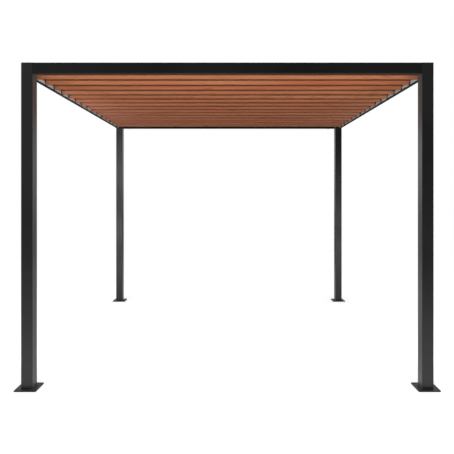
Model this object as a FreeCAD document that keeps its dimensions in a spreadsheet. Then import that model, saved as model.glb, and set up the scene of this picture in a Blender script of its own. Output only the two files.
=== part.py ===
import FreeCAD, Part
import math
import os
import Sketcher

# Free-standing flat pergola: four square posts on bolted foot plates, a perimeter of
# hollow beams, and a roof of fixed, tilted slats that span from side beam to side beam.
# Frame: X runs along the slats, Y from front to back, Z up. The origin lies on the
# ground under the middle of the plan. All sizes are millimetres and degrees.

DRIVING_DIMENSIONS = {
    "outer_width": 3000,
    "outer_depth": 3000,
    "frame_height": 2380,
    "post_side": 84,
    "post_wall": 2.5,
    "post_corner": 3,
    "beam_height": 78,
    "beam_width": 30,
    "beam_wall": 2,
    "beam_corner": 2.5,
    "plate_side": 160,
    "plate_thickness": 8,
    "plate_corner": 6,
    "hole_spacing": 124,
    "hole_diameter": 12,
    "stub_height": 120,
    "stub_wall": 4,
    "cap_thickness": 3,
    "cap_skirt_depth": 18,
    "cap_skirt_wall": 2,
    "plug_play": 0.25,
    "slat_count": 15,
    "slat_pitch": 185.5,
    "slat_lead": 14,
    "slat_chord": 78,
    "slat_thickness": 20,
    "slat_corner": 7,
    "slat_wall": 1.6,
    "slat_web": 1.6,
    "slat_tilt": 65,
    "chamber_bevel": 3.4,
    "rail_thickness": 3,
    "rail_height": 72,
    "rail_corner": 0.8,
    "flange_thickness": 7,
    "flange_rim": 1,
    "flange_bevel": 5,
    "spigot_depth": 25,
    "spigot_wall": 2,
    "spigot_play": 0.3,
    "sleeve_depth": 110,
    "sleeve_wall": 3,
    "sleeve_end": 4,
}

# Sizes that more than one piece uses, as formulas on the driving dimensions.
POST_BORE = "Dims.post_side - 2 * Dims.post_wall"
POST_REACH_X = "(Dims.outer_width - Dims.post_side) / 2"
POST_REACH_Y = "(Dims.outer_depth - Dims.post_side) / 2"
BEAM_BORE_WIDTH = "Dims.beam_width - 2 * Dims.beam_wall"
BEAM_BORE_HEIGHT = "Dims.beam_height - 2 * Dims.beam_wall"
BEAM_MIDDLE = "Dims.frame_height - Dims.beam_height / 2"
BEAM_SPAN_X = "Dims.outer_width - 2 * Dims.post_side"
BEAM_SPAN_Y = "Dims.outer_depth - 2 * Dims.post_side"
RAIL_FACE = "Dims.outer_width / 2 - Dims.beam_width - Dims.rail_thickness"
SLAT_SPAN = f"2 * ({RAIL_FACE} - Dims.flange_thickness)"

SIDES = {"left": -1, "right": 1}
ENDS = {"front": -1, "rear": 1}
ROOT = -1

doc = FreeCAD.newDocument("Pergola")
sheet = doc.addObject("Spreadsheet::Sheet", "Dims")
for row, (alias, number) in enumerate(DRIVING_DIMENSIONS.items(), start=1):
    sheet.set(f"A{row}", alias)
    sheet.set(f"B{row}", str(number))
    sheet.setAlias(f"B{row}", alias)
doc.recompute()
nodes = []


def value(formula):
    """Work out a formula on the cells of the sheet."""
    return float(sheet.evalExpression(formula))


def new_body(label):
    """Add an empty body whose label names the node that it is written to."""
    body = doc.addObject("PartDesign::Body", label)
    body.Label = label
    return body


def new_sketch(body, label, plane, lift="0"):
    """Add a sketch on one of the body's own origin planes, lifted by a formula."""
    sketch = body.newObject("Sketcher::SketchObject", label)
    support = next(item for item in body.Origin.OriginFeatures if item.Role == plane)
    sketch.AttachmentSupport = [(support, "")]
    sketch.MapMode = "FlatFace"
    sketch.setExpression("AttachmentOffset.Base.z", lift)
    return sketch


def drive(sketch, constraint, label, formula):
    """Add a constraint, name it and bind it to a formula of the sheet."""
    index = sketch.addConstraint(constraint)
    sketch.renameConstraint(index, label)
    sketch.setExpression(f"Constraints.{label}", formula)


def polygon(sketch, label, corners):
    """Draw a closed outline of straight edges through corners, each a pair of formulas."""
    spots = [FreeCAD.Vector(value(u), value(v), 0) for u, v in corners]
    edges = []
    for here, spot in enumerate(spots):
        after = spots[(here + 1) % len(spots)]
        edges.append(sketch.addGeometry(Part.LineSegment(spot, after)))
    for here, edge in enumerate(edges):
        after = edges[(here + 1) % len(edges)]
        sketch.addConstraint(Sketcher.Constraint("Coincident", edge, 2, after, 1))
        for axis, formula in zip("XY", corners[here]):
            reach = Sketcher.Constraint(f"Distance{axis}", ROOT, 1, edge, 1, value(formula))
            drive(sketch, reach, f"{label}_{here}_{axis}", formula)


def rectangle(sketch, label, width, height):
    """Draw a sharp rectangle about the sketch's origin."""
    signs = ((-1, -1), (1, -1), (1, 1), (-1, 1))
    polygon(sketch, label, [(f"{u} * ({width}) / 2", f"{v} * ({height}) / 2") for u, v in signs])


def rounded_rectangle(sketch, label, width, height, corner):
    """Draw a rectangle with rounded corners about the sketch's origin."""
    radius = value(corner)
    right, high = value(width) / 2, value(height) / 2
    turns = (-90, 0, 90, 180)
    middles = (
        (right - radius, radius - high),
        (right - radius, high - radius),
        (radius - right, high - radius),
        (radius - right, radius - high),
    )
    arcs = []
    for turn, middle in zip(turns, middles):
        circle = Part.Circle(FreeCAD.Vector(*middle, 0), FreeCAD.Vector(0, 0, 1), radius)
        arc = Part.ArcOfCircle(circle, math.radians(turn), math.radians(turn + 90))
        arcs.append(sketch.addGeometry(arc))
    edges = []
    for here, arc in enumerate(arcs):
        after = arcs[(here + 1) % len(arcs)]
        start = sketch.Geometry[arc].EndPoint
        line = sketch.addGeometry(Part.LineSegment(start, sketch.Geometry[after].StartPoint))
        sketch.addConstraint(Sketcher.Constraint("Tangent", arc, 2, line, 1))
        sketch.addConstraint(Sketcher.Constraint("Tangent", line, 2, after, 1))
        edges.append(line)
    for line, way in zip(edges, ("Vertical", "Horizontal", "Vertical", "Horizontal")):
        sketch.addConstraint(Sketcher.Constraint(way, line))
    for arc in arcs[1:]:
        sketch.addConstraint(Sketcher.Constraint("Equal", arcs[0], arc))
    drive(sketch, Sketcher.Constraint("Radius", arcs[0], radius), f"{label}_corner", corner)
    span = Sketcher.Constraint("DistanceX", edges[2], 1, edges[0], 1, 2 * right)
    drive(sketch, span, f"{label}_width", width)
    rise = Sketcher.Constraint("DistanceY", edges[3], 1, edges[1], 1, 2 * high)
    drive(sketch, rise, f"{label}_height", height)
    sketch.addConstraint(Sketcher.Constraint("Symmetric", arcs[0], 3, arcs[2], 3, ROOT, 1))


def chamber(sketch, label, side, near, far, half):
    """Draw the outline that a slat's chamber and a holder's spigot share.

    It lies on one side of the slat's web, from near to far, and has two bevels where the
    slat's edge is rounded.
    """
    corners = (
        (near, f"-({half})"),
        (f"{far} - Dims.chamber_bevel", f"-({half})"),
        (far, f"Dims.chamber_bevel - ({half})"),
        (far, f"{half} - Dims.chamber_bevel"),
        (f"{far} - Dims.chamber_bevel", half),
        (near, half),
    )
    polygon(sketch, label, [(f"{side} * ({u})", v) for u, v in corners])


def pad(body, label, sketch, formula, middle=False, reverse=False):
    """Pad a sketch by a length bound to a formula."""
    feature = body.newObject("PartDesign::Pad", label)
    feature.Profile = sketch
    feature.Midplane = middle
    feature.Reversed = reverse
    feature.setExpression("Length", formula)
    body.Tip = feature


def place(item, x, y, z):
    """Bind an object's position to three formulas."""
    item.setExpression("Placement.Base.x", x)
    item.setExpression("Placement.Base.y", y)
    item.setExpression("Placement.Base.z", z)


def plug_ring(body, label, lift, wall, depth, reverse=False):
    """Pad the square ring that plugs into a post's end with a little play."""
    sketch = new_sketch(body, f"{label}_outline", "XY_Plane", lift)
    fit = f"{POST_BORE} - 2 * Dims.plug_play"
    rectangle(sketch, "fit", fit, fit)
    rectangle(sketch, "hollow", f"{fit} - 2 * {wall}", f"{fit} - 2 * {wall}")
    pad(body, label, sketch, depth, reverse=reverse)


def post(label, x, y):
    """Square tube, rounded outside and sharp inside, from the foot plate up to the cap."""
    body = new_body(label)
    sketch = new_sketch(body, f"{label}_section", "XY_Plane")
    rounded_rectangle(sketch, "outer", "Dims.post_side", "Dims.post_side", "Dims.post_corner")
    rectangle(sketch, "bore", POST_BORE, POST_BORE)
    length = "Dims.frame_height - Dims.plate_thickness - Dims.cap_thickness"
    pad(body, f"{label}_length", sketch, length)
    place(body, x, y, "Dims.plate_thickness")
    nodes.append(body)


def foot_plate(label, x, y):
    """Square plate with four anchor holes and the welded stub that the post slides over."""
    body = new_body(label)
    sketch = new_sketch(body, f"{label}_outline", "XY_Plane")
    rounded_rectangle(sketch, "plate", "Dims.plate_side", "Dims.plate_side", "Dims.plate_corner")
    radius, reach = value("Dims.hole_diameter / 2"), value("Dims.hole_spacing / 2")
    for along, across in ((-1, -1), (1, -1), (1, 1), (-1, 1)):
        middle = FreeCAD.Vector(along * reach, across * reach, 0)
        hole = sketch.addGeometry(Part.Circle(middle, FreeCAD.Vector(0, 0, 1), radius))
        bore = Sketcher.Constraint("Radius", hole, radius)
        drive(sketch, bore, f"hole_{hole}_radius", "Dims.hole_diameter / 2")
        for axis, sign in (("X", along), ("Y", across)):
            step = Sketcher.Constraint(f"Distance{axis}", ROOT, 1, hole, 3, sign * reach)
            drive(sketch, step, f"hole_{hole}_{axis}", f"{sign} * Dims.hole_spacing / 2")
    pad(body, f"{label}_thickness", sketch, "Dims.plate_thickness")
    plug_ring(body, f"{label}_stub", "Dims.plate_thickness", "Dims.stub_wall", "Dims.stub_height")
    place(body, x, y, "0")
    nodes.append(body)


def post_cap(label, x, y):
    """Flat cap on the post's top, with a skirt that plugs into the tube."""
    body = new_body(label)
    sketch = new_sketch(body, f"{label}_outline", "XY_Plane")
    rounded_rectangle(sketch, "cap", "Dims.post_side", "Dims.post_side", "Dims.post_corner")
    pad(body, f"{label}_top", sketch, "Dims.cap_thickness")
    skirt = (f"{label}_skirt", "0", "Dims.cap_skirt_wall", "Dims.cap_skirt_depth")
    plug_ring(body, *skirt, reverse=True)
    place(body, x, y, "Dims.frame_height - Dims.cap_thickness")
    nodes.append(body)


def beam(label, plane, length, x, y):
    """Hollow rectangular beam that butts between the faces of two posts."""
    body = new_body(label)
    sketch = new_sketch(body, f"{label}_section", plane)
    rounded_rectangle(sketch, "outer", "Dims.beam_width", "Dims.beam_height", "Dims.beam_corner")
    rectangle(sketch, "bore", BEAM_BORE_WIDTH, BEAM_BORE_HEIGHT)
    pad(body, f"{label}_length", sketch, length, middle=True)
    place(body, x, y, BEAM_MIDDLE)
    nodes.append(body)


def slat_rail(label, side):
    """Thin flat rail along a side beam's inner face, which carries the slat holders."""
    body = new_body(label)
    sketch = new_sketch(body, f"{label}_section", "XZ_Plane")
    rounded_rectangle(sketch, "outer", "Dims.rail_thickness", "Dims.rail_height", "Dims.rail_corner")
    pad(body, f"{label}_length", sketch, BEAM_SPAN_Y, middle=True)
    place(body, f"{side} * ({RAIL_FACE} + Dims.rail_thickness / 2)", "0", BEAM_MIDDLE)
    nodes.append(body)


def copies_of(master, label, spots):
    """Write one node of separate copies of a master body, one at each placement."""
    doc.recompute()
    copies = [master.Shape.transformed(spot.toMatrix(), True) for spot in spots]
    group = doc.addObject("Part::Feature", label)
    group.Label = label
    group.Shape = Part.makeCompound(copies)
    nodes.append(group)


def beam_sleeves(label, span, turn, x, y):
    """Pair of hollow inserts with closed ends, which carry a beam on two posts' faces."""
    master = new_body(f"{label}_master")
    sketch = new_sketch(master, f"{label}_section", "YZ_Plane")
    rectangle(sketch, "fit", BEAM_BORE_WIDTH, BEAM_BORE_HEIGHT)
    hollow_width = f"{BEAM_BORE_WIDTH} - 2 * Dims.sleeve_wall"
    hollow_height = f"{BEAM_BORE_HEIGHT} - 2 * Dims.sleeve_wall"
    rectangle(sketch, "hollow", hollow_width, hollow_height)
    pad(master, f"{label}_walls", sketch, "Dims.sleeve_depth")
    closing = new_sketch(master, f"{label}_end_outline", "YZ_Plane")
    rectangle(closing, "end", BEAM_BORE_WIDTH, BEAM_BORE_HEIGHT)
    pad(master, f"{label}_end", closing, "Dims.sleeve_end")
    middle = FreeCAD.Vector(value(x), value(y), value(BEAM_MIDDLE))
    spots = []
    for flip in (0, 180):
        spin = FreeCAD.Rotation(FreeCAD.Vector(0, 0, 1), turn + flip)
        start = spin.multVec(FreeCAD.Vector(-value(span) / 2, 0, 0))
        spots.append(FreeCAD.Placement(middle + start, spin))
    copies_of(master, label, spots)


def slat_row(number):
    """Formula for the Y of a slat: the row's lower edges are centred, its middles lead them."""
    return f"({number} - (Dims.slat_count + 1) / 2) * Dims.slat_pitch - Dims.slat_lead"


def slat(number):
    """Slat of two chambers and a web, its lower edge turned down towards the rear."""
    label = f"slat_{number:02d}"
    body = new_body(label)
    sketch = new_sketch(body, f"{label}_section", "YZ_Plane")
    rounded_rectangle(sketch, "outer", "Dims.slat_chord", "Dims.slat_thickness", "Dims.slat_corner")
    far = "Dims.slat_chord / 2 - Dims.slat_wall"
    half = "Dims.slat_thickness / 2 - Dims.slat_wall"
    for name, side in (("front_chamber", -1), ("rear_chamber", 1)):
        chamber(sketch, name, side, "Dims.slat_web / 2", far, half)
    pad(body, f"{label}_length", sketch, SLAT_SPAN, middle=True)
    body.Placement.Rotation = FreeCAD.Rotation(FreeCAD.Vector(1, 0, 0), -value("Dims.slat_tilt"))
    body.setExpression("Placement.Rotation.Angle", "-Dims.slat_tilt")
    place(body, "0", slat_row(number), BEAM_MIDDLE)
    nodes.append(body)


def slat_holders(label, side):
    """Row of holders: a flange on the rail, with two hollow spigots in each slat."""
    master = new_body(f"{label}_master")
    flange = new_sketch(master, f"{label}_flange_outline", "YZ_Plane")
    wide = "Dims.slat_chord / 2 + Dims.flange_rim"
    tall = "Dims.slat_thickness / 2 + Dims.flange_rim"
    short, low = f"{wide} - Dims.flange_bevel", f"{tall} - Dims.flange_bevel"
    turns = ((1, -1), (1, 1), (-1, 1), (-1, -1))
    corners = []
    for u, v in turns:
        pair = [(f"{u} * ({short})", f"{v} * ({tall})"), (f"{u} * ({wide})", f"{v} * ({low})")]
        corners += pair if u * v < 0 else reversed(pair)
    polygon(flange, "flange", corners)
    pad(master, f"{label}_flange", flange, "Dims.flange_thickness", reverse=side < 0)
    spigots = new_sketch(master, f"{label}_spigot_outline", "YZ_Plane")
    near = "Dims.slat_web / 2 + Dims.spigot_play"
    far = "Dims.slat_chord / 2 - Dims.slat_wall - Dims.spigot_play"
    half = "Dims.slat_thickness / 2 - Dims.slat_wall - Dims.spigot_play"
    for name, way in (("front_spigot", -1), ("rear_spigot", 1)):
        chamber(spigots, name, way, near, far, half)
        inner = (f"{near} + Dims.spigot_wall", f"{far} - Dims.spigot_wall", f"{half} - Dims.spigot_wall")
        chamber(spigots, f"{name}_hollow", way, *inner)
    pad(master, f"{label}_spigots", spigots, "Dims.spigot_depth", reverse=side > 0)
    tilt = FreeCAD.Rotation(FreeCAD.Vector(1, 0, 0), -value("Dims.slat_tilt"))
    face, level = side * value(SLAT_SPAN) / 2, value(BEAM_MIDDLE)
    rows = [value(slat_row(number)) for number in range(1, slat_total + 1)]
    copies_of(master, label, [FreeCAD.Placement(FreeCAD.Vector(face, row, level), tilt) for row in rows])


slat_total = int(value("Dims.slat_count"))

for end, along in ENDS.items():
    for side, across in SIDES.items():
        corner = (f"{across} * {POST_REACH_X}", f"{along} * {POST_REACH_Y}")
        post(f"post_{end}_{side}", *corner)
        foot_plate(f"foot_plate_{end}_{side}", *corner)
        post_cap(f"post_cap_{end}_{side}", *corner)

for end, along in ENDS.items():
    line = f"{along} * (Dims.outer_depth - Dims.beam_width) / 2"
    beam(f"beam_{end}", "YZ_Plane", BEAM_SPAN_X, "0", line)
    beam_sleeves(f"beam_sleeves_{end}", BEAM_SPAN_X, 0, "0", line)
for side, across in SIDES.items():
    line = f"{across} * (Dims.outer_width - Dims.beam_width) / 2"
    beam(f"beam_{side}", "XZ_Plane", BEAM_SPAN_Y, line, "0")
    beam_sleeves(f"beam_sleeves_{side}", BEAM_SPAN_Y, 90, line, "0")

for number in range(1, slat_total + 1):
    slat(number)
for side, across in SIDES.items():
    slat_rail(f"slat_rail_{side}", across)
    slat_holders(f"slat_holders_{side}", across)

doc.recompute()
for item in doc.Objects:
    if "Invalid" in item.State or "Error" in item.State:
        raise RuntimeError(f"{item.Label} did not build: {item.State}")
for node in nodes:
    if node.Shape.isNull() or not node.Shape.isValid():
        raise RuntimeError(f"{node.Label} has no valid shape")

os.makedirs("parts", exist_ok=True)
for node in nodes:
    node.Shape.exportStep(f"parts/{node.Label}.step")
    box = node.Shape.BoundBox
    print(node.Label, round(node.Shape.Volume / 1000, 1), "cm3", box)
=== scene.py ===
"""Looks of a free-standing slatted pergola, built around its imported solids.

The posts, foot plates, caps, beams, sleeves, slat rails and slat holders keep their
solids and get finishes. The slats are drawn again with smooth edges and a wood-effect
coat that runs round them, and the screws at the posts' feet and under the beams are
added.
"""

import logging
import math
from dataclasses import dataclass
from enum import Enum

import bpy
import numpy as np
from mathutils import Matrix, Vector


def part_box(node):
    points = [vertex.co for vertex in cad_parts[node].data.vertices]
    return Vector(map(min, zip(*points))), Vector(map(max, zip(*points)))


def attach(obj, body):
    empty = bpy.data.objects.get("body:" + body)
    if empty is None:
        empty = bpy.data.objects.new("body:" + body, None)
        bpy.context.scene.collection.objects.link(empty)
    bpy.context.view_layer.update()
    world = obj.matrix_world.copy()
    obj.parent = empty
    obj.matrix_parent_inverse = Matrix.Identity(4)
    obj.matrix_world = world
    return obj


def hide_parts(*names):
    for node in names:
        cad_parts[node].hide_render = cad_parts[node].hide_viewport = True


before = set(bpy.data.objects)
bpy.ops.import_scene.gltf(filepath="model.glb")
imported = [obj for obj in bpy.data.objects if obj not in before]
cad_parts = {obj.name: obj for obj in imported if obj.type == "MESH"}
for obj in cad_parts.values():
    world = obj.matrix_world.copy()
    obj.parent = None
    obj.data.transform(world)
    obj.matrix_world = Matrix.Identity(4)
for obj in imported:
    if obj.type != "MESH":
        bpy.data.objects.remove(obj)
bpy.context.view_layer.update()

Colour = tuple[float, float, float]
Point = tuple[float, float, float]
Range = tuple[float, float]
Material = bpy.types.Material
Node = bpy.types.Node
Object = bpy.types.Object
Socket = bpy.types.NodeSocket
Tree = bpy.types.NodeTree

LOG = logging.getLogger("pergola")
ROOT_BODY = "root"
ENDS = ("front", "rear")
SIDES = ("left", "right")
CORNERS = tuple(f"{end}_{side}" for end in ENDS for side in SIDES)
SLAT_MAP = "along_and_round"
SMOOTH_BELOW = math.radians(30.0)
DUST_COLOUR = (0.16, 0.15, 0.135)
WHITE = (1.0, 1.0, 1.0, 1.0)
# A direction that no screw's axis follows.
SKEW = (0.3, 0.5, 0.81)


class Slot(Enum):
    """Material slots of the record that finishes stand for."""

    POST = "post_coat"
    BEAM = "beam_coat"
    PLATE = "plate_coat"
    CAP = "cap_plastic"
    SLEEVE = "bare_aluminium"
    SLAT = "wood_effect_coat"
    RAIL = "rail_coat"
    HOLDER = "holder_plastic"


Coats = dict[Slot, Material]


class Wiring:
    """Short calls that add and link the nodes of one tree."""

    def __init__(self, tree: Tree) -> None:
        """Keep the tree whose nodes are added."""
        self.tree = tree

    def add(self, kind: str, **settings: object) -> Node:
        """Add a node and set its properties.

        Args:
            kind: The node's type name.
            settings: Its properties, by name.

        Returns:
            The new node.
        """
        node = self.tree.nodes.new(kind)
        for name, setting in settings.items():
            setattr(node, name, setting)
        return node

    def feed(self, socket: Socket, source: object) -> None:
        """Link a socket to another socket, or set it to a plain value.

        Args:
            socket: The input that is fed.
            source: An output socket, a number, or a tuple of numbers.
        """
        if isinstance(source, Socket):
            self.tree.links.new(source, socket)
        else:
            socket.default_value = source

    def math(self, operation: str, first: object, second: object) -> Socket:
        """Join two values by one arithmetic step.

        Args:
            operation: The step's name, such as MULTIPLY.
            first: A socket or a number.
            second: A socket or a number.

        Returns:
            The socket that holds the result.
        """
        node = self.add("ShaderNodeMath", operation=operation)
        self.feed(node.inputs[0], first)
        self.feed(node.inputs[1], second)
        return node.outputs[0]

    def blend(self, factor: object, first: object, second: object) -> Socket:
        """Blend two colours by a factor.

        Args:
            factor: A socket or a number from 0, the first colour, to 1, the second.
            first: A socket or a colour.
            second: A socket or a colour.

        Returns:
            The socket that holds the blended colour.
        """
        node = self.add("ShaderNodeMix", data_type="RGBA")
        self.feed(node.inputs["Factor"], factor)
        for number, colour in ((6, first), (7, second)):
            self.feed(node.inputs[number], (*colour, 1.0) if isinstance(colour, tuple) else colour)
        return node.outputs[2]

    def spread(self, source: object, low: float, high: float, to_low: object, to_high: object) -> Socket:
        """Map a value's range smoothly onto another one and clamp it there.

        Args:
            source: The socket that is mapped.
            low: Where the source range starts.
            high: Where the source range ends.
            to_low: The result at the start, a socket or a number.
            to_high: The result at the end, a socket or a number.

        Returns:
            The socket that holds the mapped value.
        """
        node = self.add("ShaderNodeMapRange", interpolation_type="SMOOTHSTEP")
        for number, value in enumerate((source, low, high, to_low, to_high)):
            self.feed(node.inputs[number], value)
        return node.outputs[0]

    def stretch(self, vector: Socket, scale: Point) -> Socket:
        """Scale a place along each axis.

        Args:
            vector: The socket that holds the place.
            scale: The factor along each axis.

        Returns:
            The socket that holds the scaled place.
        """
        node = self.add("ShaderNodeVectorMath", operation="MULTIPLY")
        self.feed(node.inputs[0], vector)
        node.inputs[1].default_value = scale
        return node.outputs[0]

    def noise(self, vector: Socket, scale: object, layers: float, bend: float = 0.0) -> Socket:
        """Add a cloudy noise.

        Args:
            vector: The socket that holds the place.
            scale: How many clouds a metre holds, a socket or a number.
            layers: How many finer layers it has.
            bend: How far its clouds are bent.

        Returns:
            The socket that holds the noise, about 0.5 on average.
        """
        node = self.add("ShaderNodeTexNoise")
        self.feed(node.inputs["Vector"], vector)
        self.feed(node.inputs["Scale"], scale)
        node.inputs["Detail"].default_value = layers
        node.inputs["Distortion"].default_value = bend
        return node.outputs["Fac"]

    def effect(self, group: Tree, place: Socket, **values: float) -> Node:
        """Place a shared node group and set its inputs.

        Args:
            group: The shared node group.
            place: The socket that holds the place on the piece.
            values: Its other inputs, by name.

        Returns:
            The group's node.
        """
        node = self.add("ShaderNodeGroup", node_tree=group)
        self.feed(node.inputs["Place"], place)
        for label, value in values.items():
            node.inputs[label].default_value = value
        return node

    def bump(self, shader: Node, height: Socket, strength: float, distance: float) -> None:
        """Give a shader a fine relief.

        Args:
            shader: The principled shader.
            height: The socket that holds the relief's height.
            strength: How strongly it shows.
            distance: Height of the relief, in metres.
        """
        node = self.add("ShaderNodeBump")
        node.inputs["Strength"].default_value = strength
        node.inputs["Distance"].default_value = distance
        self.feed(node.inputs["Height"], height)
        self.feed(shader.inputs["Normal"], node.outputs["Normal"])

    def mix(self, factor: Socket, first: Node, second: Node) -> Node:
        """Mix two shaders by a factor.

        Args:
            factor: The socket that holds 0 for the first shader and 1 for the second.
            first: A shader's node.
            second: A shader's node.

        Returns:
            The node that mixes them.
        """
        node = self.add("ShaderNodeMixShader")
        for number, source in enumerate((factor, first.outputs[0], second.outputs[0])):
            self.feed(node.inputs[number], source)
        return node

    def by_ray(self, lighting: Node, mirrored: Node, seen: Node) -> Node:
        """Choose what lights the part, what the part mirrors and what shows behind it.

        Camera and transmission rays get what shows, glossy rays what is mirrored, and all
        others what lights the part.

        Args:
            lighting: The shader that lights the part.
            mirrored: The shader that the part mirrors.
            seen: The shader that shows.

        Returns:
            The node that holds the choice.
        """
        ray = self.add("ShaderNodeLightPath").outputs
        shows = self.math("MAXIMUM", ray["Is Camera Ray"], ray["Is Transmission Ray"])
        return self.mix(shows, self.mix(ray["Is Glossy Ray"], lighting, mirrored), seen)


def new_group(
    name: str, inputs: dict[str, tuple[str, object]], outputs: dict[str, str]
) -> tuple[Wiring, Node, Node]:
    """Start a shader node group with named inputs and outputs.

    Args:
        name: The group's name.
        inputs: Socket type and default value of each input, by name.
        outputs: Socket type of each output, by name.

    Returns:
        The wiring of the group, its input node and its output node.
    """
    tree = bpy.data.node_groups.new(name, "ShaderNodeTree")
    for label, (kind, default) in inputs.items():
        socket = tree.interface.new_socket(label, in_out="INPUT", socket_type=kind)
        if default is not None:
            socket.default_value = default
    for label, kind in outputs.items():
        tree.interface.new_socket(label, in_out="OUTPUT", socket_type=kind)
    wiring = Wiring(tree)
    return wiring, wiring.add("NodeGroupInput"), wiring.add("NodeGroupOutput")


@dataclass(frozen=True)
class GrainedSkin:
    """The fine skin that coats, plastics and bare metal share, as a node group.

    Attributes:
        grains: Grains a metre, where a finish doesn't say.
        clouds: Clouds a metre, where a finish doesn't say.
        coarse_pace: Coarse grains a metre against the fine ones.
        coarse_share: Strength of the coarse grains against the fine ones.
        cloud_layers: How many finer layers the clouds have.
        cloud_window: The part of the clouds' noise that becomes the full range.
    """

    grains: float = 900.0
    clouds: float = 2.0
    coarse_pace: float = 0.22
    coarse_share: float = 0.33
    cloud_layers: float = 4.0
    cloud_window: Range = (0.32, 0.68)

    def group(self) -> Tree:
        """Build the node group.

        The height is a fine noise with a coarser one added at its share. The tone is a
        slow noise, stretched to the full range from 0 to 1.

        Returns:
            The group, with the outputs Height and Tone.
        """
        inputs = {
            "Place": ("NodeSocketVector", None),
            "Grains": ("NodeSocketFloat", self.grains),
            "Clouds": ("NodeSocketFloat", self.clouds),
        }
        outputs = {"Height": "NodeSocketFloat", "Tone": "NodeSocketFloat"}
        wiring, entry, leave = new_group("grained_skin", inputs, outputs)
        place, grains, clouds = (entry.outputs[label] for label in inputs)
        fine = wiring.noise(place, grains, 1.0)
        coarse = wiring.noise(place, wiring.math("MULTIPLY", grains, self.coarse_pace), 1.0)
        height = wiring.math("ADD", fine, wiring.math("MULTIPLY", coarse, self.coarse_share))
        wiring.feed(leave.inputs["Height"], height)
        cloudy = wiring.noise(place, clouds, self.cloud_layers)
        wiring.feed(leave.inputs["Tone"], wiring.spread(cloudy, *self.cloud_window, 0.0, 1.0))
        return wiring.tree


@dataclass(frozen=True)
class SettledDust:
    """The dust that settles on faces that look up, as a node group.

    Attributes:
        amount: How much dust lies on them, where a finish doesn't say.
        slope: How far up a face looks where dust begins to lie, and where it lies fully.
        blotches: Blotches a metre.
        blotch_layers: How many finer layers the blotches have.
        blotch_window: The part of the blotches' noise that becomes their full range.
        least: How much of the dust lies between the blotches.
    """

    amount: float = 0.3
    slope: Range = (0.6, 0.95)
    blotches: float = 23.0
    blotch_layers: float = 6.0
    blotch_window: Range = (0.35, 0.75)
    least: float = 0.25

    def group(self) -> Tree:
        """Build the node group.

        Its mask is the upward part of the face's direction, stretched over the slope,
        times a blotchy noise and times the amount.

        Returns:
            The group, with the output Mask.
        """
        inputs = {"Place": ("NodeSocketVector", None), "Amount": ("NodeSocketFloat", self.amount)}
        wiring, entry, leave = new_group("settled_dust", inputs, {"Mask": "NodeSocketFloat"})
        split = wiring.add("ShaderNodeSeparateXYZ")
        wiring.feed(split.inputs[0], wiring.add("ShaderNodeNewGeometry").outputs["Normal"])
        upward = wiring.spread(split.outputs["Z"], *self.slope, 0.0, 1.0)
        blotches = wiring.noise(entry.outputs["Place"], self.blotches, self.blotch_layers)
        patchy = wiring.spread(blotches, *self.blotch_window, self.least, 1.0)
        mask = wiring.math("MULTIPLY", upward, patchy)
        wiring.feed(leave.inputs["Mask"], wiring.math("MULTIPLY", mask, entry.outputs["Amount"]))
        return wiring.tree


@dataclass(frozen=True)
class Effects:
    """Node groups that several finishes place in their own materials.

    Attributes:
        skin: The fine skin.
        dust: The dust on faces that look up.
    """

    skin: Tree
    dust: Tree


def start_material(name: str) -> tuple[Material, Wiring, Node]:
    """Add a material with its principled shader.

    Args:
        name: The material's name.

    Returns:
        The material, its wiring and its principled shader.
    """
    material = bpy.data.materials.new(name)
    material.use_nodes = True
    wiring = Wiring(material.node_tree)
    return material, wiring, material.node_tree.nodes["Principled BSDF"]


@dataclass(frozen=True)
class CoatedSkin:
    """A matt coat or moulded plastic: finely grained and slightly cloudy.

    Attributes:
        name: The material's name.
        colour: Its colour, linear.
        pale: The colour that its clouds lean to, linear.
        roughness: Its lowest and highest roughness.
        grains: Grains of its skin a metre.
        bump: How strongly the grains' relief shows.
        relief: Height of the grains, in metres.
        dust: How much dust lies on faces that look up.
        dust_roughness: How much rougher full dust makes it.
        gloss: Strength of its mirror at normal sight, 0.5 for plain lacquer.
        sheen: Strength of the pale film that its grains show at a glance.
    """

    name: str
    colour: Colour
    pale: Colour
    roughness: Range
    grains: float = 900.0
    bump: float = 0.6
    relief: float = 0.00004
    dust: float = 0.25
    dust_roughness: float = 0.5
    gloss: float = 0.5
    sheen: float = 0.0

    def material(self, effects: Effects) -> Material:
        """Build the finish.

        Args:
            effects: The shared node groups.

        Returns:
            The material.
        """
        material, wiring, shader = start_material(self.name)
        place = wiring.add("ShaderNodeTexCoord").outputs["Object"]
        skin = wiring.effect(effects.skin, place, Grains=self.grains)
        mask = wiring.effect(effects.dust, place, Amount=self.dust).outputs["Mask"]
        tone = skin.outputs["Tone"]
        coat = wiring.blend(tone, self.colour, self.pale)
        wiring.feed(shader.inputs["Base Color"], wiring.blend(mask, coat, DUST_COLOUR))
        rough = wiring.spread(tone, 0.0, 1.0, *self.roughness)
        dull = wiring.math("MULTIPLY", mask, self.dust_roughness)
        wiring.feed(shader.inputs["Roughness"], wiring.math("ADD", rough, dull))
        shader.inputs["Specular IOR Level"].default_value = self.gloss
        shader.inputs["Sheen Weight"].default_value = self.sheen
        wiring.bump(shader, skin.outputs["Height"], self.bump, self.relief)
        return material


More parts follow.
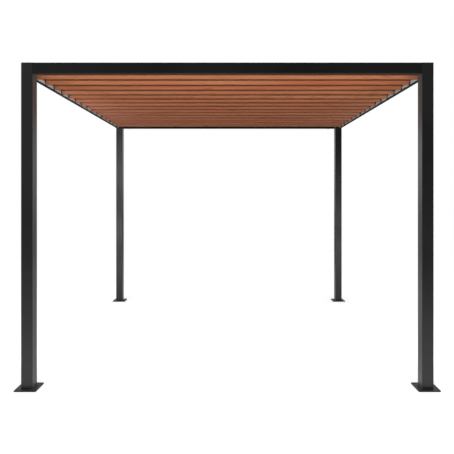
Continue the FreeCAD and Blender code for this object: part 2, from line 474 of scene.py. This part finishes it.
@dataclass(frozen=True)
class GrainLayer:
    """One layer of a printed wood grain: a noise that is drawn out along the slat.

    Attributes:
        pace: Clouds a metre along the slat and round it.
        layers: How many finer layers its noise has.
        bend: How far its clouds are bent.
        window: The part of the layer's range that shows.
        shown: What the two ends of that part become.
    """

    pace: Range
    layers: float
    bend: float
    window: Range
    shown: Range = (0.0, 1.0)

    def noise(self, wiring: Wiring, run: Socket) -> Socket:
        """Add the layer's noise at a place on the slat's map."""
        return wiring.noise(wiring.stretch(run, (*self.pace, 1.0)), 1.0, self.layers, self.bend)

    def show(self, wiring: Wiring, source: Socket) -> Socket:
        """Stretch the part of a value that shows."""
        return wiring.spread(source, *self.window, *self.shown)


@dataclass(frozen=True)
class WoodEffectCoat:
    """A film-printed coat with the look of oiled red cedar.

    The pattern lies on the slat's own map, in metres: U runs along the slat, V round it.

    Attributes:
        name: The material's name.
        light: Colour of the early wood, linear.
        warm: Colour of the broad bands, linear.
        dark: Colour of the late-wood lines, linear.
        pore: Colour of the pores, linear.
        roughness: Its lowest and highest roughness.
        polish: The part of the streaks' noise over which the roughness changes.
        bands: The broad bands.
        lines: The late wood, whose noise is cut into lines.
        line_count: How many lines the whole range of that noise is cut into.
        streaks: The fine streaks, which break the lines up.
        pores: The pores.
        pore_depth: How deep the pores are, a share of the relief.
        streak_height: How high the streaks are, a share of the relief.
        bump: How strongly the relief shows.
        relief: Height of the relief, in metres.
        dust: How much dust lies on faces that look up.
        gloss: Strength of its mirror at normal sight.
    """

    name: str
    light: Colour
    warm: Colour
    dark: Colour
    pore: Colour
    roughness: Range
    polish: Range = (0.3, 0.7)
    bands: GrainLayer = GrainLayer((0.55, 14.0), 3.0, 0.6, (0.34, 0.66))
    lines: GrainLayer = GrainLayer((1.1, 26.0), 2.0, 1.2, (0.55, 1.0))
    line_count: float = 11.0
    streaks: GrainLayer = GrainLayer((3.0, 260.0), 5.0, 0.3, (0.35, 0.7), (0.15, 1.0))
    pores: GrainLayer = GrainLayer((28.0, 1500.0), 1.0, 0.0, (0.63, 0.76), (0.0, 0.75))
    pore_depth: float = 0.5
    streak_height: float = 0.4
    bump: float = 0.5
    relief: float = 0.0001
    dust: float = 0.2
    gloss: float = 0.5

    def material(self, effects: Effects) -> Material:
        """Build the finish.

        The late-wood lines are the fraction that is left of a slow noise times their
        count, so that each follows the noise's own bends.

        Args:
            effects: The shared node groups.

        Returns:
            The material.
        """
        material, wiring, shader = start_material(self.name)
        run = wiring.add("ShaderNodeUVMap", uv_map=SLAT_MAP).outputs["UV"]
        bands = self.bands.show(wiring, self.bands.noise(wiring, run))
        board = wiring.blend(bands, self.light, self.warm)
        counted = wiring.math("MULTIPLY", self.lines.noise(wiring, run), self.line_count)
        late = self.lines.show(wiring, wiring.math("FRACT", counted, 0.0))
        streaks = self.streaks.noise(wiring, run)
        broken = wiring.math("MULTIPLY", late, self.streaks.show(wiring, streaks))
        grown = wiring.blend(broken, board, self.dark)
        pores = self.pores.show(wiring, self.pores.noise(wiring, run))
        grained = wiring.blend(pores, grown, self.pore)
        place = wiring.add("ShaderNodeTexCoord").outputs["Object"]
        mask = wiring.effect(effects.dust, place, Amount=self.dust).outputs["Mask"]
        wiring.feed(shader.inputs["Base Color"], wiring.blend(mask, grained, DUST_COLOUR))
        rough = wiring.spread(streaks, *self.polish, *self.roughness)
        wiring.feed(shader.inputs["Roughness"], rough)
        shader.inputs["Specular IOR Level"].default_value = self.gloss
        sunk = wiring.math("MULTIPLY", pores, -self.pore_depth)
        raised = wiring.math("MULTIPLY", streaks, self.streak_height)
        wiring.bump(shader, wiring.math("ADD", sunk, raised), self.bump, self.relief)
        return material


@dataclass(frozen=True)
class MillAluminium:
    """Bare extruded aluminium, slightly cloudy.

    Attributes:
        name: The material's name.
        colour: Its colour, linear.
        cloud_shade: Level of the clouds' colour against its own.
        roughness: Its lowest and highest roughness.
    """

    name: str
    colour: Colour
    cloud_shade: float = 0.8
    roughness: Range = (0.32, 0.45)

    def material(self, effects: Effects) -> Material:
        """Build the finish.

        Args:
            effects: The shared node groups.

        Returns:
            The material.
        """
        material, wiring, shader = start_material(self.name)
        place = wiring.add("ShaderNodeTexCoord").outputs["Object"]
        tone = wiring.effect(effects.skin, place).outputs["Tone"]
        clouded = tuple(self.cloud_shade * channel for channel in self.colour)
        wiring.feed(shader.inputs["Base Color"], wiring.blend(tone, self.colour, clouded))
        wiring.feed(shader.inputs["Roughness"], wiring.spread(tone, 0.0, 1.0, *self.roughness))
        shader.inputs["Metallic"].default_value = 1.0
        return material


FINISHES = {
    Slot.POST: CoatedSkin(
        "post_powder_coat",
        colour=(0.0044, 0.0045, 0.0047),
        pale=(0.006, 0.0062, 0.0064),
        roughness=(0.36, 0.44),
        gloss=0.65,
        sheen=0.2,
    ),
    Slot.BEAM: CoatedSkin(
        "beam_powder_coat",
        colour=(0.005, 0.0051, 0.0053),
        pale=(0.0068, 0.007, 0.0072),
        roughness=(0.34, 0.42),
        gloss=0.4,
    ),
    Slot.PLATE: CoatedSkin(
        "plate_powder_coat",
        colour=(0.0075, 0.0077, 0.008),
        pale=(0.011, 0.0112, 0.0116),
        roughness=(0.44, 0.54),
        dust=0.12,
        gloss=0.4,
    ),
    Slot.CAP: CoatedSkin(
        "cap_moulding",
        colour=(0.011, 0.011, 0.0112),
        pale=(0.014, 0.014, 0.0142),
        roughness=(0.52, 0.6),
        grains=1400.0,
    ),
    Slot.SLEEVE: MillAluminium("mill_aluminium", colour=(0.62, 0.63, 0.64)),
    Slot.SLAT: WoodEffectCoat(
        "wood_print_coat",
        light=(0.50, 0.190, 0.087),
        warm=(0.42, 0.132, 0.057),
        dark=(0.26, 0.070, 0.027),
        pore=(0.17, 0.044, 0.017),
        roughness=(0.42, 0.56),
    ),
    Slot.RAIL: CoatedSkin(
        "rail_powder_coat",
        colour=(0.66, 0.66, 0.665),
        pale=(0.74, 0.74, 0.745),
        roughness=(0.45, 0.55),
    ),
    Slot.HOLDER: CoatedSkin(
        "holder_moulding",
        colour=(0.03, 0.023, 0.017),
        pale=(0.04, 0.03, 0.023),
        roughness=(0.5, 0.6),
        grains=1400.0,
    ),
}


@dataclass(frozen=True)
class Surface:
    """A mesh of four-sided faces, worked out as whole arrays.

    Attributes:
        points: Vertex places, one row each.
        quads: Corner numbers of each face, one row each.
        flat_map: Place of each face corner on the piece's own map, in metres, if it has one.
    """

    points: np.ndarray
    quads: np.ndarray
    flat_map: np.ndarray | None = None

    @staticmethod
    def joined(parts: list["Surface"]) -> "Surface":
        """Join several surfaces without a map into one.

        Args:
            parts: The surfaces.

        Returns:
            One surface that holds them all.
        """
        starts = np.cumsum([0] + [len(part.points) for part in parts[:-1]])
        quads = np.concatenate([part.quads + start for part, start in zip(parts, starts)])
        return Surface(np.concatenate([part.points for part in parts]), quads)


def ring_quads(rings: int, around: int) -> np.ndarray:
    """Number the faces between closed rings of points.

    Face (i, j) joins points j and j + 1 of ring i to the same points of ring i + 1, and
    the last point of a ring is followed by its first.

    Args:
        rings: How many rings follow each other.
        around: How many points a ring has.

    Returns:
        Corner numbers, one row a face.
    """
    ring, spot = np.meshgrid(np.arange(rings - 1), np.arange(around), indexing="ij")
    after = (spot + 1) % around
    corners = (ring * around + spot, ring * around + after)
    corners += ((ring + 1) * around + after, (ring + 1) * around + spot)
    return np.stack([corner.ravel() for corner in corners], axis=1)


def lid_quads(around: int, first: int, flip: bool) -> np.ndarray:
    """Number the faces that close a ring which mirrors itself.

    Face i spans the ring from points i and i + 1 to their two mirror points, which count
    back from the ring's last point.

    Args:
        around: How many points the ring has, an even number.
        first: Number of the ring's first point.
        flip: Whether the lid looks against the ring's turn.

    Returns:
        Corner numbers, one row a face.
    """
    here = np.arange(around // 2 - 1)
    quads = first + np.stack([here, here + 1, around - 2 - here, around - 1 - here], axis=1)
    return quads[:, ::-1] if flip else quads


def add_object(name: str, surface: Surface, material: Material) -> Object:
    """Put a surface into the scene, smooth but for its sharper edges.

    Args:
        name: The object's name.
        surface: Its vertices, faces and map.
        material: Its finish.

    Returns:
        The new object.
    """
    faces, corners = surface.quads.shape
    mesh = bpy.data.meshes.new(name)
    mesh.vertices.add(len(surface.points))
    mesh.vertices.foreach_set("co", surface.points.astype(np.float32).ravel())
    mesh.loops.add(faces * corners)
    mesh.loops.foreach_set("vertex_index", surface.quads.astype(np.int32).ravel())
    mesh.polygons.add(faces)
    mesh.polygons.foreach_set("loop_start", np.arange(0, faces * corners, corners, dtype=np.int32))
    mesh.update(calc_edges=True)
    mesh.polygons.foreach_set("use_smooth", np.ones(faces, dtype=bool))
    mesh.set_sharp_from_angle(angle=SMOOTH_BELOW)
    if surface.flat_map is not None:
        layer = mesh.uv_layers.new(name=SLAT_MAP)
        layer.uv.foreach_set("vector", surface.flat_map.astype(np.float32).ravel())
    mesh.materials.append(material)
    added = bpy.data.objects.new(name, mesh)
    bpy.context.scene.collection.objects.link(added)
    return added


def add_piece(name: str, surface: Surface, slot: Slot, coats: Coats) -> Object:
    """Put a surface into the scene as a piece of the part.

    Args:
        name: The piece's name.
        surface: Its vertices, faces and map.
        slot: The record's slot that it takes its finish from.
        coats: The finishes, by slot.

    Returns:
        The new object.
    """
    piece = add_object(name, surface, coats[slot])
    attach(piece, ROOT_BODY)
    return piece


def dress(node: str, material: Material) -> Object:
    """Give a node of the frame its finish.

    Args:
        node: The node's name.
        material: The finish.

    Returns:
        The node's object.
    """
    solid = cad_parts[node]
    solid.data.materials.clear()
    solid.data.materials.append(material)
    return solid


@dataclass(frozen=True)
class SocketScrew:
    """Round-headed screw with a hexagon socket, on a washer.

    Attributes:
        washer_radius: Outer radius of the washer.
        washer_height: Thickness of the washer.
        head_radius: Radius of the head.
        head_height: Height of the head over the washer.
        socket_width: Width of the socket across its flats.
        socket_depth: Depth of the socket.
        sunk: How far the washer's underside lies in the face that it is screwed to.
        bevel: Bevel of the washer and the socket's mouth, a share of the washer's height.
        brim: How much of the head's height stands straight.
        crown: How far the head's curve goes, a share of half a turn.
        crown_power: Power of the cosine that the head's radius follows.
        mouth: Width of the socket's mouth against the socket's own.
        rings: How many rings of points the head's curve has.
        around: Points round the screw, a multiple of twelve.
    """

    washer_radius: float = 0.0075
    washer_height: float = 0.0012
    head_radius: float = 0.0055
    head_height: float = 0.0038
    socket_width: float = 0.004
    socket_depth: float = 0.0024
    sunk: float = 0.0004
    bevel: float = 0.2
    brim: float = 0.3
    crown: float = 0.38
    crown_power: float = 0.6
    mouth: float = 1.04
    rings: int = 8
    around: int = 48

    def surface(self, seat: np.ndarray, axis: np.ndarray) -> Surface:
        """Work out the screw at a place.

        A profile of radius and height is turned about the screw's axis. The head's radius
        falls as a power of the cosine while its height rises as the sine, until the radius
        is a little more than the socket's. In the socket the radius is that of a hexagon:
        half its width, divided by the cosine of the angle from the nearest flat's middle.

        Args:
            seat: Where the axis meets the face that the screw sits on.
            axis: Direction in which the head stands out.

        Returns:
            The closed surface.
        """
        angle = np.linspace(0.0, 2.0 * np.pi, self.around, endpoint=False) + np.pi / self.around
        from_flat = (angle + np.pi / 6.0) % (np.pi / 3.0) - np.pi / 6.0
        hexagon = 0.5 * self.socket_width / np.cos(from_flat)
        rise = np.linspace(0.0, self.crown * np.pi, self.rings)
        top = self.washer_height + self.head_height
        bevel = self.bevel * self.washer_height
        radii = [self.washer_radius, self.washer_radius, self.washer_radius - bevel, self.head_radius]
        heights = [-self.sunk, self.washer_height - bevel, self.washer_height, self.washer_height]
        dome = self.brim + (1.0 - self.brim) * np.sin(rise) / np.sin(rise[-1])
        circle = np.ones(self.around)
        rows = np.concatenate([
            np.outer(radii, circle),
            np.outer(self.head_radius * np.cos(rise) ** self.crown_power, circle),
            np.stack([hexagon * self.mouth, hexagon, hexagon]),
        ])
        levels = np.concatenate([
            heights,
            self.washer_height + self.head_height * dome,
            [top, top - bevel, top - self.socket_depth],
        ])
        side = np.cross(axis, SKEW)
        side /= np.linalg.norm(side)
        turned = np.outer(np.cos(angle), side) + np.outer(np.sin(angle), np.cross(axis, side))
        points = seat + rows[:, :, None] * turned + levels[:, None, None] * axis
        quads = ring_quads(len(rows), self.around)
        foot = lid_quads(self.around, 0, True)
        socket = lid_quads(self.around, (len(rows) - 1) * self.around, False)
        return Surface(points.reshape(-1, 3), np.concatenate([quads, foot, socket]))


@dataclass(frozen=True)
class Posts:
    """Four posts with their foot plates, caps and foot screws.

    Attributes:
        screw_heights: Heights of the screws that hold a post to its plate's stub.
        screw: The screw's form.
    """

    screw_heights: Range = (0.055, 0.100)
    screw: SocketScrew = SocketScrew(washer_radius=0.0065, head_radius=0.005)

    def build(self, coats: Coats) -> list[Object]:
        """Dress the posts and add the screws on their outer sides.

        Args:
            coats: The finishes, by slot.

        Returns:
            The pieces.
        """
        pieces, screws = [], []
        for corner in CORNERS:
            pieces.append(dress(f"post_{corner}", coats[Slot.POST]))
            pieces.append(dress(f"foot_plate_{corner}", coats[Slot.PLATE]))
            pieces.append(dress(f"post_cap_{corner}", coats[Slot.CAP]))
            low, high = (np.array(point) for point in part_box(f"post_{corner}"))
            outward = np.array([np.sign(low[0] + high[0]), 0.0, 0.0])
            for height in self.screw_heights:
                seat = np.array([high[0] if outward[0] > 0 else low[0], 0.5 * (low[1] + high[1]), height])
                screws.append(self.screw.surface(seat, outward))
        return pieces + [add_piece("foot_screws", Surface.joined(screws), Slot.POST, coats)]


@dataclass(frozen=True)
class BeamFrame:
    """The perimeter of beams, with the screws that hold them to their sleeves.

    Attributes:
        screw_reach: Distance from a post's face to the screw under the beam.
        screw: The screw's form.
    """

    screw_reach: float = 0.084
    screw: SocketScrew = SocketScrew()

    def build(self, coats: Coats) -> list[Object]:
        """Dress the beams and sleeves and add the screws under the beams' ends.

        Args:
            coats: The finishes, by slot.

        Returns:
            The pieces.
        """
        pieces, screws = [], []
        for place in ENDS + SIDES:
            pieces.append(dress(f"beam_{place}", coats[Slot.BEAM]))
            pieces.append(dress(f"beam_sleeves_{place}", coats[Slot.SLEEVE]))
            low, high = (np.array(point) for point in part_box(f"beam_{place}"))
            along = 0 if place in ENDS else 1
            for end in (low[along] + self.screw_reach, high[along] - self.screw_reach):
                seat = 0.5 * (low + high)
                seat[along] = end
                seat[2] = low[2]
                screws.append(self.screw.surface(seat, np.array([0.0, 0.0, -1.0])))
        return pieces + [add_piece("beam_screws", Surface.joined(screws), Slot.BEAM, coats)]


@dataclass(frozen=True)
class SlatRoof:
    """The tilted slats, with the holders at their ends and the rails that carry these.

    Attributes:
        chord: Width of a slat's section.
        thickness: Thickness of a slat's section.
        corner: Radius of its rounded edges.
        tilt: How far the chord's rear edge is turned down, in degrees.
        steps: Points on each rounded edge.
        margin: Distance from a rounded edge to the row of points that keeps the flat flat.
        map_step: How far a slat's place on its map lies from the last one's, along and round.
    """

    chord: float = 0.078
    thickness: float = 0.020
    corner: float = 0.007
    tilt: float = 65.0
    steps: int = 12
    margin: float = 0.0006
    map_step: Range = (7.31, 1.37)

    def outline(self) -> np.ndarray:
        """Work out the slat's section.

        Each rounded edge is an arc of a quarter turn about its own middle, which lies one
        radius inside both flats. Where it meets a wide flat, one more point lies a margin
        out along that flat.

        Returns:
            Place of each point along the chord and through the thickness, one row each,
            anticlockwise, from the upper edge's underside.
        """
        reach = np.array([0.5 * self.chord - self.corner, 0.5 * self.thickness - self.corner])
        signs = np.array([[-1.0, -1.0], [1.0, -1.0], [1.0, 1.0], [-1.0, 1.0]])
        starts = np.radians([180.0, 270.0, 0.0, 90.0])
        turn = np.linspace(0.0, 0.5 * np.pi, self.steps)
        onto, off = np.append(turn, turn[-1]), np.append(turn[0], turn)
        angle = starts[:, None] + np.stack([onto, off, onto, off])
        shift = np.zeros_like(angle)
        shift[::2, -1], shift[1::2, 0] = self.margin, -self.margin
        radial = np.stack([np.cos(angle), np.sin(angle)], axis=-1)
        tangent = np.stack([-np.sin(angle), np.cos(angle)], axis=-1)
        arcs = (signs * reach)[:, None, :] + self.corner * radial + shift[..., None] * tangent
        return arcs.reshape(-1, 2)

    def slat(self, number: int) -> Surface:
        """Carry the section straight along a slat, between the ends of its solid.

        A point lies at the solid's middle, plus its chord place along the tilted chord,
        plus its thickness place square to that. On the map, U is the place along the slat
        and V the way round the section, and each slat starts at a place of its own.

        Args:
            number: The slat's number, from the front.

        Returns:
            The closed surface, with its map.
        """
        low, high = (np.array(point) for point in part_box(f"slat_{number:02d}"))
        middle = 0.5 * (low + high)
        section = self.outline()
        tilt = math.radians(self.tilt)
        chordwise = np.array([0.0, math.cos(tilt), -math.sin(tilt)])
        through = np.array([0.0, math.sin(tilt), math.cos(tilt)])
        ring = middle + section[:, :1] * chordwise + section[:, 1:] * through
        ends = np.array([low[0], high[0]])
        points = np.repeat(ring[None], 2, axis=0)
        points[:, :, 0] = ends[:, None]
        around = len(section)
        sides = ring_quads(2, around)
        lids = np.concatenate([lid_quads(around, 0, True), lid_quads(around, around, False)])
        steps = np.linalg.norm(np.roll(section, -1, axis=0) - section, axis=1)
        way = np.concatenate([[0.0], np.cumsum(steps)])
        side_run = np.broadcast_to(ends[[0, 0, 1, 1]], (around, 4))
        side_way = np.stack([way[:-1], way[1:], way[1:], way[:-1]], axis=1)
        side_map = np.stack([side_run, side_way], axis=2)
        lid_map = section[lids % around][:, :, ::-1]
        flat_map = np.concatenate([side_map, lid_map]) + np.array(self.map_step) * number
        return Surface(points.reshape(-1, 3), np.concatenate([sides, lids]), flat_map)

    def build(self, coats: Coats) -> list[Object]:
        """Draw the slats and dress their rails and holders.

        Args:
            coats: The finishes, by slot.

        Returns:
            The pieces.
        """
        pieces = []
        solids = sorted(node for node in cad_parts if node.removeprefix("slat_").isdigit())
        for number, node in enumerate(solids, start=1):
            piece = add_piece(f"{node}_coated", self.slat(number), Slot.SLAT, coats)
            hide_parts(node)
            pieces.append(piece)
        for side in SIDES:
            pieces.append(dress(f"slat_rail_{side}", coats[Slot.RAIL]))
            pieces.append(dress(f"slat_holders_{side}", coats[Slot.HOLDER]))
        return pieces


@dataclass(frozen=True)
class PhotoView:
    """The photograph's camera, which looks level and square at the front.

    Attributes:
        picture: Width and height of the picture, in pixels.
        front_scale: Pixels a metre on the plane of the posts' front faces.
        vanishing_x: Pixel column in which lines square to the front meet.
        vanishing_y: Pixel row of the camera's own height.
        distance: Distance from that plane to the camera.
        offset: The camera's place to the right of the part's middle.
        height: The camera's height over the ground.
    """

    picture: float = 454.0
    front_scale: float = 137.61
    vanishing_x: float = 230.85
    vanishing_y: float = 194.1
    distance: float = 3.513
    offset: float = 0.0257
    height: float = 1.4233

    def build(self, front: float) -> None:
        """Place the camera.

        Args:
            front: Place of the plane of the posts' front faces.
        """
        lens = bpy.data.cameras.new("photo_view")
        lens.sensor_fit = "HORIZONTAL"
        lens.lens = self.front_scale * self.distance / self.picture * lens.sensor_width
        lens.shift_x = (0.5 * self.picture - self.vanishing_x) / self.picture
        lens.shift_y = (self.vanishing_y - 0.5 * self.picture) / self.picture
        camera = bpy.data.objects.new("photo_view", lens)
        camera.location = (self.offset, front - self.distance, self.height)
        camera.rotation_euler = (math.radians(90.0), 0.0, 0.0)
        bpy.context.scene.collection.objects.link(camera)
        bpy.context.scene.camera = camera


@dataclass(frozen=True)
class Studio:
    """A plain pale floor, white surroundings and soft light.

    Attributes:
        floor_reach: Half the floor's width.
        floor_drop: How far the floor lies under the foot plates.
        horizon: Level of the light from all round.
        zenith: Level of the light from above.
        sky_rise: How far up a direction looks where its light is the horizon's or the zenith's.
        bounce: How much of its light the floor gives back to the part.
        shade: How much of the seen floor's white is light that the part can shade.
        glow: How much of the seen floor's white is its own.
        front_fade: Where in front the mirrored floor is dusk, and where it is white.
        far_fade: How far out the mirrored floor is still white, and where it is dull.
        far_dusk: Level of the mirrored floor far out.
        painted_roof_shade_fade: Where in front the mirrored floor is white, and where its painted roof
            shade is full.
        painted_roof_shade_level: Level of the mirrored floor's painted roof shade from there on, under
            the roof and behind it.
        sky_white: Level of the mirrored surroundings at the sides and behind.
        sky_turn: How far back a direction looks where the mirrored front is dusky, and
            where the surroundings are white.
        front_dusk: Level of the mirrored surroundings in front, against their white.
        left_glow: The same in front on the left.
        left_turn: How far to the right a direction looks where that glow is full, and
            where it is gone.
        lamp_power: Power of the wide lamp in front, in watts.
        lamp_size: Width and height of that lamp.
        lamp_place: Its place.
        lamp_tilt: How far it is turned up, in degrees.
        strip_powers: Power of the left and the right upright strip lamp, in watts.
        strip_heights: Height of the left and the right strip lamp.
        strip_width: Width of a strip lamp.
        strip_place: How far out, how far back and how high the foot of a strip lamp stands.
        strip_turn: How far a strip lamp is turned outward from straight back, in degrees.
    """

    floor_reach: float = 60.0
    floor_drop: float = 0.0005
    horizon: float = 0.3
    zenith: float = 1.0
    sky_rise: Range = (0.2, 0.7)
    bounce: float = 0.03
    shade: float = 0.75
    glow: float = 0.36
    front_fade: Range = (-9.0, -3.0)
    far_fade: Range = (3.0, 7.0)
    far_dusk: float = 0.01
    painted_roof_shade_fade: Range = (-1.9, -0.6)
    painted_roof_shade_level: float = 0.6
    sky_white: float = 0.8
    sky_turn: Range = (-0.6, 0.1)
    front_dusk: float = 0.025
    left_glow: float = 0.42
    left_turn: Range = (-0.5, 0.0)
    lamp_power: float = 84.5
    lamp_size: Range = (5.0, 0.04)
    lamp_place: Point = (0.0, -3.6, 1.91)
    lamp_tilt: float = 6.0
    strip_powers: Range = (18.0, 7.6)
    strip_heights: Range = (2.4, 1.6)
    strip_width: float = 0.25
    strip_place: Point = (2.06, -1.2, 0.02)
    strip_turn: float = 17.0

    def floor(self) -> None:
        """Lay the floor: one square, white where it is seen, duller where it only lights.

        Mirrored, it glows with painted light instead of being lit: white near the part and in
        front of it, darker under the roof and behind as painted roof shade, and dusk further out.
        """
        material = bpy.data.materials.new("studio_floor")
        material.use_nodes = True
        nodes = material.node_tree.nodes
        nodes.remove(nodes["Principled BSDF"])
        wiring = Wiring(material.node_tree)
        dull = wiring.add("ShaderNodeBsdfDiffuse")
        dull.inputs["Color"].default_value = (self.bounce, self.bounce, self.bounce, 1.0)
        place = wiring.add("ShaderNodeTexCoord").outputs["Object"]
        split = wiring.add("ShaderNodeSeparateXYZ")
        wiring.feed(split.inputs[0], place)
        length = wiring.add("ShaderNodeVectorMath", operation="LENGTH")
        wiring.feed(length.inputs[0], place)
        forward = wiring.spread(split.outputs["Y"], *self.front_fade, self.front_dusk, 1.0)
        outward = wiring.spread(length.outputs["Value"], *self.far_fade, 1.0, self.far_dusk)
        # Painted roof shade: in reflections the floor's glow is dimmed under the roof and behind it.
        painted_roof_shade = wiring.spread(split.outputs["Y"], *self.painted_roof_shade_fade, 1.0, self.painted_roof_shade_level)
        near = wiring.math("MULTIPLY", outward, painted_roof_shade)
        # Painted light: in reflections the floor glows at these levels instead of being lit.
        mirrored = wiring.add("ShaderNodeEmission")
        wiring.feed(mirrored.inputs["Strength"], wiring.math("MULTIPLY", forward, near))
        pale = wiring.add("ShaderNodeBsdfDiffuse")
        pale.inputs["Color"].default_value = (self.shade, self.shade, self.shade, 1.0)
        glow = wiring.add("ShaderNodeEmission")
        glow.inputs["Strength"].default_value = self.glow
        white = wiring.add("ShaderNodeAddShader")
        wiring.feed(white.inputs[0], pale.outputs[0])
        wiring.feed(white.inputs[1], glow.outputs[0])
        shown = wiring.by_ray(dull, mirrored, white)
        wiring.feed(nodes["Material Output"].inputs["Surface"], shown.outputs[0])
        corners = np.array([[-1.0, -1.0, 0.0], [1.0, -1.0, 0.0], [1.0, 1.0, 0.0], [-1.0, 1.0, 0.0]])
        points = corners * self.floor_reach - np.array([0.0, 0.0, self.floor_drop])
        add_object("studio_floor", Surface(points, np.array([[0, 1, 2, 3]])), material)

    def surroundings(self) -> None:
        """Light the part from all round, and show white where nothing stands.

        Mirrored, the surroundings are white but for a dusky front.
        """
        world = bpy.data.worlds.new("studio")
        world.use_nodes = True
        bpy.context.scene.world = world
        nodes = world.node_tree.nodes
        wiring = Wiring(world.node_tree)
        way = wiring.add("ShaderNodeSeparateXYZ")
        wiring.feed(way.inputs[0], wiring.add("ShaderNodeTexCoord").outputs["Generated"])
        light = nodes["Background"]
        light.inputs["Color"].default_value = WHITE
        level = wiring.spread(way.outputs["Z"], *self.sky_rise, self.horizon, self.zenith)
        wiring.feed(light.inputs["Strength"], level)
        mirrored = wiring.add("ShaderNodeBackground")
        mirrored.inputs["Color"].default_value = (self.sky_white, self.sky_white, self.sky_white, 1.0)
        front = wiring.spread(way.outputs["X"], *self.left_turn, self.left_glow, self.front_dusk)
        level = wiring.spread(way.outputs["Y"], *self.sky_turn, front, 1.0)
        wiring.feed(mirrored.inputs["Strength"], level)
        white = wiring.add("ShaderNodeBackground")
        white.inputs["Color"].default_value = WHITE
        shown = wiring.by_ray(light, mirrored, white)
        wiring.feed(nodes["World Output"].inputs["Surface"], shown.outputs[0])

    def lamp(self, name: str, power: float, size: Range, place: Point, turn: Range) -> Object:
        """Hang a soft lamp that looks back, and that the camera doesn't see.

        Args:
            name: The lamp's name.
            power: Its power, in watts.
            size: Its width and height.
            place: Its place.
            turn: How far it is turned up and to the left, in degrees.

        Returns:
            The lamp's object.
        """
        lamp = bpy.data.lights.new(name, "AREA")
        lamp.shape = "RECTANGLE"
        lamp.size, lamp.size_y = size
        lamp.energy = power
        box = bpy.data.objects.new(name, lamp)
        box.location = place
        box.rotation_euler = (math.radians(90.0 + turn[0]), 0.0, math.radians(turn[1]))
        box.visible_camera = False
        bpy.context.scene.collection.objects.link(box)
        return box

    def lamps(self) -> None:
        """Hang the wide lamp in front and the two strips that light the back from the sides.

        The wide one lights the slats' faces and is mirrored nowhere. The strips are
        mirrored in the rear posts.
        """
        tilt = (self.lamp_tilt, 0.0)
        wide = self.lamp("front_softbox", self.lamp_power, self.lamp_size, self.lamp_place, tilt)
        wide.visible_glossy = False
        out, back, foot = self.strip_place
        strips = zip(SIDES, (-1.0, 1.0), self.strip_powers, self.strip_heights)
        for side, sign, power, height in strips:
            place = (sign * out, back, foot + 0.5 * height)
            turn = (0.0, -sign * self.strip_turn)
            self.lamp(f"strip_{side}", power, (self.strip_width, height), place, turn)

    def build(self) -> None:
        """Set up the floor, the surroundings, the lamps and the way colours are shown."""
        self.floor()
        self.surroundings()
        self.lamps()
        bpy.context.scene.view_settings.view_transform = "Standard"


def main() -> None:
    """Build the pergola's looks in order and report each piece."""
    logging.basicConfig(level=logging.INFO, format="%(name)s: %(message)s")
    effects = Effects(skin=GrainedSkin().group(), dust=SettledDust().group())
    coats = {slot: finish.material(effects) for slot, finish in FINISHES.items()}
    for assembly in (Posts(), BeamFrame(), SlatRoof()):
        for piece in assembly.build(coats):
            faces, finish = len(piece.data.polygons), piece.data.materials[0].name
            LOG.info("%s: %d faces, %s", piece.name, faces, finish)
    Studio().build()
    LOG.info("studio: floor, surroundings and lamps")
    PhotoView().build(front=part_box("post_front_left")[0][1])
    LOG.info("camera: the photograph's view")


if __name__ == "__main__":
    main()
